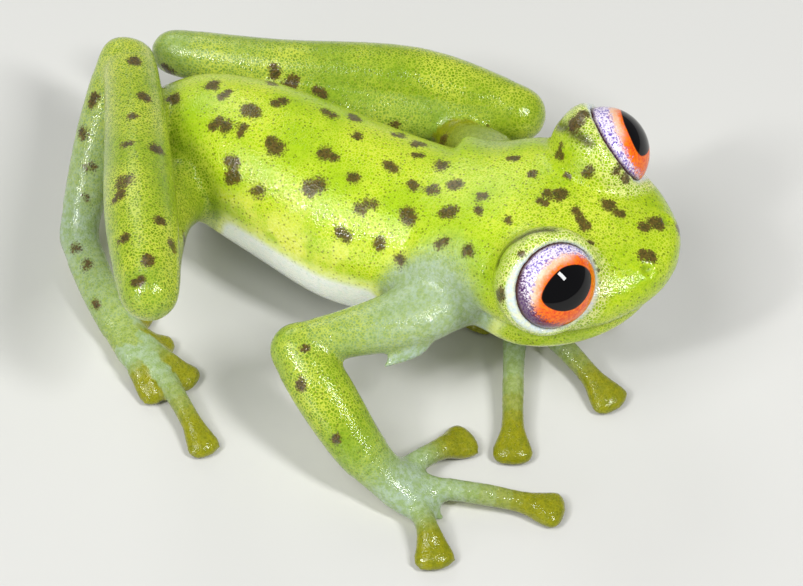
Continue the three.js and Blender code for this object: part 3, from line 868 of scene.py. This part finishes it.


# the crease tone is painted shade along the mouth line and in the nostrils; the fold tone is painted shade
# in the folds over the eyes
skinTones = {
    "back": ("#96b800", "#b6cf00"), "backFleck": "#a4c800", "head": ("#8eb000", "#a8c400"),
    "limb": ("#6f9008", "#86a50e"), "flank": ("#d2da2a", "#e8ec80"), "olive": ("#747800", "#8c8a00"),
    "blue": ("#92a874", "#a6b8a4"), "net": "#dce152", "lids": ("#96bc00", "#f8f6b0"),
    "belly": ("#eef6ec", "#f8faf0"), "bellyEdge": ("#dbe56e", "#e6ef98"),
    "freckle": ("#4f5a04", "#5f7448"), "lip": ("#e6ebd2", "#d3e2ea"), "creaseShade": "#4d6a10",
    "foldShade": "#2c2206", "spot": ("#2a1010", "#5a3c1c"), "halo": "#5a5a10",
}
# sizes of the skin's patterns, as repeats in a millimetre
skinGrain = {"cells": 7.4, "freckles": 5.0, "broad": 0.35, "patches": 0.8, "mottle": 4.2, "fine": 9.0}


def plainSkin(tree, broad, mottle, fine, patches):
    # the ground tone of each region
    back = toned(tree, broad, 0.35, 0.65, skinTones["back"])
    back = mixed(tree, rising(tree, mottle, 0.3, 0.7), back, toLinear(skinTones["backFleck"]))
    base = mixed(tree, fromSkin(tree, "head"), back, toned(tree, mottle, 0.3, 0.7, skinTones["head"]))
    base = mixed(tree, fromSkin(tree, "limb"), base, toned(tree, mottle, 0.3, 0.7, skinTones["limb"]))
    patch = times(tree, fromSkin(tree, "flank"), rising(tree, patches, 0.38, 0.62))
    base = mixed(tree, patch, base, toned(tree, fine, 0.3, 0.7, skinTones["flank"]))
    base = mixed(tree, fromSkin(tree, "olive"), base, toned(tree, mottle, 0.3, 0.7, skinTones["olive"]))
    return mixed(tree, fromSkin(tree, "blue"), base, toned(tree, mottle, 0.35, 0.65, skinTones["blue"]))


def nettedSkin(tree, base, edge, broad):
    # between the grains the skin is lighter, most of all on the lids
    net = rising(tree, edge, 0.2, 0.04)
    smoother = timesPlus(tree, fromSkin(tree, "olive"), 0.85, fromSkin(tree, "blue"))
    grained = reckon(tree, "SUBTRACT", 1.0, smoother, clamp=True)
    netShare = times(tree, times(tree, net, rising(tree, broad, 0.2, 0.7)), grained)
    base = mixed(tree, times(tree, netShare, 0.7), base, toLinear(skinTones["net"]))
    lids = mixed(tree, net, toLinear(skinTones["lids"][0]), toLinear(skinTones["lids"][1]))
    return mixed(tree, times(tree, fromSkin(tree, "bulge"), 0.6), base, lids)


def markedSkin(tree, base, freckle, mottle):
    # the white underside, freckles, the lids' white lips, and painted shade along the mouth line, in the
    # nostrils and in the folds over the eyes
    pale = fromSkin(tree, "pale")
    bellyEdge = toned(tree, mottle, 0.35, 0.65, skinTones["bellyEdge"])
    belly = toned(tree, mottle, 0.35, 0.65, skinTones["belly"])
    base = mixed(tree, rising(tree, pale, 0.02, 0.4), base, bellyEdge)
    base = mixed(tree, rising(tree, pale, 0.35, 0.8), base, belly)
    limbFreckle, blueFreckle = skinTones["freckle"]
    green = mixed(tree, fromSkin(tree, "blue"), toLinear(limbFreckle), toLinear(blueFreckle))
    freckles = times(tree, rising(tree, freckle, 0.3, 0.16), fromSkin(tree, "dots"))
    freckles = times(tree, freckles, reckon(tree, "SUBTRACT", 0.62, times(tree, pale, 0.6)))
    base = mixed(tree, freckles, base, green)
    lip = toned(tree, mottle, 0.35, 0.65, skinTones["lip"])
    base = mixed(tree, times(tree, fromSkin(tree, "rim"), 0.9), base, lip)
    # painted shade along the mouth line and in the nostrils
    base = mixed(tree, times(tree, fromSkin(tree, "creaseShade"), 0.5), base, toLinear(skinTones["creaseShade"]))
    # painted shade in the folds over the eyes, broken up by the mottle
    foldShade = times(tree, fromSkin(tree, "foldShade"), rising(tree, mottle, 0.1, 0.5))
    return mixed(tree, times(tree, foldShade, 0.95), base, toLinear(skinTones["foldShade"]))


def spottedSkin(tree, base, edge, mottle, fine):
    # a spot is a crowd of dark grains that thins out at its edge
    crowd = swung(tree, fromSkin(tree, "spot"), mottle, 0.5, 0.4)
    crowd = swung(tree, crowd, edge, 0.16, 0.45)
    crowd = swung(tree, crowd, fine, 0.5, 0.55)
    bare = reckon(tree, "SUBTRACT", 1.0, fromSkin(tree, "rim"))
    halo = times(tree, rising(tree, crowd, 0.26, 0.5), times(tree, bare, 0.3))
    base = mixed(tree, halo, base, toLinear(skinTones["halo"]))
    dark = times(tree, rising(tree, crowd, 0.36, 0.64), times(tree, bare, 0.88))
    return mixed(tree, dark, base, toned(tree, fine, 0.35, 0.65, skinTones["spot"]))


def skinMaterial():
    # living frog skin, thin and wet: light goes in a little way, and each grain has its own small glint
    material, tree = newMaterial("frog skin, thin, moist and finely grained")
    place = inMillimetres(tree)
    # grains with a net between them, and freckles on some of the grains
    links = {"Vector": place, "Scale": skinGrain["cells"]}
    edge = addNode(tree, "ShaderNodeTexVoronoi", {"feature": "DISTANCE_TO_EDGE"}, links).outputs["Distance"]
    links = {"Vector": place, "Scale": skinGrain["freckles"]}
    freckle = addNode(tree, "ShaderNodeTexVoronoi", {}, links).outputs["Distance"]
    broad = noise(tree, place, skinGrain["broad"], 3.0)
    mottle = noise(tree, place, skinGrain["mottle"], 3.0, 0.65)
    fine = noise(tree, place, skinGrain["fine"])
    base = plainSkin(tree, broad, mottle, fine, noise(tree, place, skinGrain["patches"]))
    base = nettedSkin(tree, base, edge, broad)
    base = markedSkin(tree, base, freckle, mottle)
    base = spottedSkin(tree, base, edge, mottle, fine)
    grain = timesPlus(tree, rising(tree, edge, 0.0, 0.35), 0.6, times(tree, fine, 0.4))
    bump = addNode(tree, "ShaderNodeBump", {}, {"Height": grain, "Strength": 0.5, "Distance": 0.00005})
    # the film of water lies smoother than the grains, so glints stay small and bright
    ripple = timesPlus(tree, mottle, 0.7, times(tree, grain, 0.3))
    wet = addNode(tree, "ShaderNodeBump", {}, {"Height": ripple, "Strength": 1.0, "Distance": 0.00003})
    shader = addNode(tree, "ShaderNodeBsdfPrincipled", {}, {
        "Base Color": base, "Roughness": 0.55, "Subsurface Weight": 0.22,
        "Subsurface Radius": (0.9, 1.0, 0.2), "Subsurface Scale": 0.0003,
        "Coat Weight": 1.0, "Coat Roughness": 0.06, "Coat IOR": 1.4, "Coat Normal": wet.outputs["Normal"],
        "Normal": bump.outputs["Normal"], "Specular IOR Level": 0.1,
    })
    addNode(tree, "ShaderNodeOutputMaterial", {}, {"Surface": shader.outputs[0]})
    return material


eyeTones = {
    "flame": ("#fb7f14", "#e2461a"), "blush": "#f5c4a2", "lilac": ("#efe4f2", "#6a55b4"),
    "outer": "#4f2350", "ring": "#3d1c1a", "pupil": "#070608",
}


def eyeMaterial():
    # a frog's eye: patterned iris under a smooth wet cornea, which gives it one sharp bright glint
    material, tree = newMaterial("frog eye, wet clear cornea over a patterned iris")
    gaze = addNode(tree, "ShaderNodeAttribute", {"attribute_name": "gaze"}).outputs["Vector"]
    parts = addNode(tree, "ShaderNodeSeparateXYZ", {}, {0: gaze})
    ahead, above = parts.outputs[0], parts.outputs[1]
    ring = fromSkin(tree, "ring")
    fine = noise(tree, gaze, 7.0, 3.0, 0.65)
    fleck = noise(tree, gaze, 11.0, 2.0, 0.7)
    # the light outer zone is wide above and behind; the flame colour reaches the edge below and in front
    upper = timesPlus(tree, ahead, -0.54, times(tree, above, 0.84))
    lower = timesPlus(tree, ahead, -0.75, times(tree, above, -0.66))
    flaw = timesPlus(tree, upper, 0.12, swung(tree, ring, fine, 0.5, 0.55))
    flame = toned(tree, fine, 0.32, 0.7, eyeTones["flame"])
    blush = mixed(tree, rising(tree, flaw, 1.2, 1.55), flame, toLinear(eyeTones["blush"]))
    inner = mixed(tree, rising(tree, upper, 0.3, 1.0), flame, blush)
    lilac = toned(tree, fleck, 0.44, 0.62, eyeTones["lilac"])
    iris = mixed(tree, rising(tree, flaw, 1.5, 1.72), inner, lilac)
    outer = swung(tree, timesPlus(tree, lower, 0.3, ring), fleck, 0.5, 1.1)
    outerShare = times(tree, rising(tree, outer, 1.72, 2.0), 0.85)
    iris = mixed(tree, outerShare, iris, toLinear(eyeTones["outer"]))
    iris = mixed(tree, rising(tree, ring, 1.76, 1.84), iris, toLinear(eyeTones["ring"]))
    base = mixed(tree, rising(tree, fromSkin(tree, "pupil"), 1.08, 1.0), iris, toLinear(eyeTones["pupil"]))
    shader = addNode(tree, "ShaderNodeBsdfPrincipled", {}, {
        "Base Color": base, "Roughness": 0.5, "Coat Weight": 1.0, "Coat Roughness": 0.02, "Coat IOR": 1.38,
        "Specular IOR Level": 0.0,
    })
    addNode(tree, "ShaderNodeOutputMaterial", {}, {"Surface": shader.outputs[0]})
    return material


def finished(mesh, name, material, nodes):
    for vert in mesh.vertices:
        vert.co *= mm
    mesh.polygons.foreach_set("use_smooth", [True] * len(mesh.polygons))
    mesh.materials.append(material)
    mesh.update()
    piece = bpy.data.objects.new(name, mesh)
    bpy.context.scene.collection.objects.link(piece)
    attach(piece, "root")
    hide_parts(*nodes)


skinNodes = [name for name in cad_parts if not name.startswith("eye_")]
finished(skinMesh, "frog_skin", skinMaterial(), skinNodes)

# Pupil: a slanting rounded lozenge, in the plane of the iris
pupilForm = {"place": (0.08, 0.19), "long": 1.2, "high": 0.9, "power": 1.75, "slant": 0.12}
eyeball = {"around": 96, "rings": 64, "farSide": 4.0}


def eyeMesh(side):
    centre = eyeCentre(side)
    ahead, above, axis = eyeFrame(side)
    form = bmesh.new()
    around, rings = eyeball["around"], eyeball["rings"]
    bmesh.ops.create_uvsphere(form, u_segments=around, v_segments=rings, radius=eyes["radius"])
    mesh = bpy.data.meshes.new("eye")
    form.to_mesh(mesh)
    form.free()
    gaze = mesh.attributes.new("gaze", "FLOAT_VECTOR", "POINT")
    power = pupilForm["power"]
    pupil, ring = [], []
    for vert in mesh.vertices:
        x, y, z = vert.co
        gaze.data[vert.index].vector = (x, y, z)
        wide = math.hypot(x, y)
        ring.append(wide if z > 0 else eyeball["farSide"] - wide)
        p = (x - pupilForm["place"][0]) / pupilForm["long"]
        q = (y - pupilForm["place"][1]) / pupilForm["high"]
        field = abs(p) ** power + abs(q) ** power - pupilForm["slant"] * p * q
        pupil.append(field if z > 0 else eyeball["farSide"])
        vert.co = centre + ahead * x + above * y + axis * z
    addFloats(mesh, "pupil", pupil)
    addFloats(mesh, "ring", ring)
    if ahead.cross(above).dot(axis) < 0:
        mesh.flip_normals()
    return mesh


eyeSurface = eyeMaterial()
for side, name in ((1, "left"), (-1, "right")):
    finished(eyeMesh(side), "frog_eye_" + name, eyeSurface, ["eye_" + name])
print("eyes made")


# Floor, light and world
stage = {"floor": ("#c8c8c4", "#cecdca"), "floorSize": 2.0, "floorWave": 0.02, "aim": (1.5, -2.0, 4.0),
         "glintReach": 330, "sky": "#e8ecee", "skyPower": 0.24}
lights = {
    # name: place in mm round the frog, width of the disk in mm, power in watts, colour
    "key": ((-200, 140, 430), 260, 1.0, "#ffffff"),
    "low": ((-430, 150, 60), 260, 0.5, "#fbfdff"),
    "rear": ((300, 320, 300), 260, 0.45, "#ffffff"),
}
# small bright lamps whose mirror images lie on the near eye: place in the photograph, sides in mm, watts
glints = {
    "flash": ((562, 276), (50, 130), 0.75),
    "second": ((535, 279), (30, 60), 0.3),
    "spark": ((528, 300), (9, 9), 0.12),
}


def makeFloor():
    form = bmesh.new()
    bmesh.ops.create_grid(form, x_segments=1, y_segments=1, size=stage["floorSize"])
    mesh = bpy.data.meshes.new("floor")
    form.to_mesh(mesh)
    form.free()
    floor = bpy.data.objects.new("floor", mesh)
    # matt painted board, which takes a soft shadow and shows no mirror image
    material, tree = newMaterial("board, matt pale paint")
    one, two = stage["floor"]
    wave = noise(tree, inMillimetres(tree), stage["floorWave"])
    shade = mixed(tree, wave, toLinear(one), toLinear(two))
    shader = addNode(tree, "ShaderNodeBsdfPrincipled", {}, {"Base Color": shade, "Roughness": 0.9})
    addNode(tree, "ShaderNodeOutputMaterial", {}, {"Surface": shader.outputs[0]})
    mesh.materials.append(material)
    bpy.context.scene.collection.objects.link(floor)


def areaLamp(name, shape, size, power):
    data = bpy.data.lights.new(name, "AREA")
    data.shape = shape
    data.size = size * mm
    data.energy = power
    return data


def placeLamp(data, spot, direction):
    lamp = bpy.data.objects.new(data.name, data)
    turn = direction.to_track_quat("-Z", "Y")
    lamp.matrix_world = Matrix.Translation(spot * mm) @ turn.to_matrix().to_4x4()
    bpy.context.scene.collection.objects.link(lamp)


def makeLights():
    for name, (place, size, power, colour) in lights.items():
        data = areaLamp(name, "DISK", size, power)
        data.color = toLinear(colour)[:3]
        placeLamp(data, Vector(place), at(stage["aim"]) - Vector(place))


def makeGlints():
    centre = eyeCentre(-1)
    for name, (pixel, (wide, high), power) in glints.items():
        origin, direction = photoRay(*pixel)
        off = origin - centre
        along = -off.dot(direction)
        away = along - math.sqrt(max(0.0, eyes["radius"] ** 2 - (off + direction * along).length_squared))
        hit = origin + direction * away
        normal = (hit - centre).normalized()
        mirrored = direction - normal * 2 * direction.dot(normal)
        data = areaLamp(name, "RECTANGLE", wide, power)
        data.size_y = high * mm
        placeLamp(data, hit + mirrored * stage["glintReach"], -mirrored)


def makeWorld():
    world = bpy.data.worlds.new("studio")
    world.use_nodes = True
    tree = world.node_tree
    tree.nodes.clear()
    links = {"Color": toLinear(stage["sky"]), "Strength": stage["skyPower"]}
    back = addNode(tree, "ShaderNodeBackground", {}, links)
    addNode(tree, "ShaderNodeOutputWorld", {}, {"Surface": back.outputs[0]})
    bpy.context.scene.world = world


makeFloor()
makeLights()
makeGlints()
makeWorld()
bpy.context.scene.view_settings.view_transform = "Standard"
print("stage set")
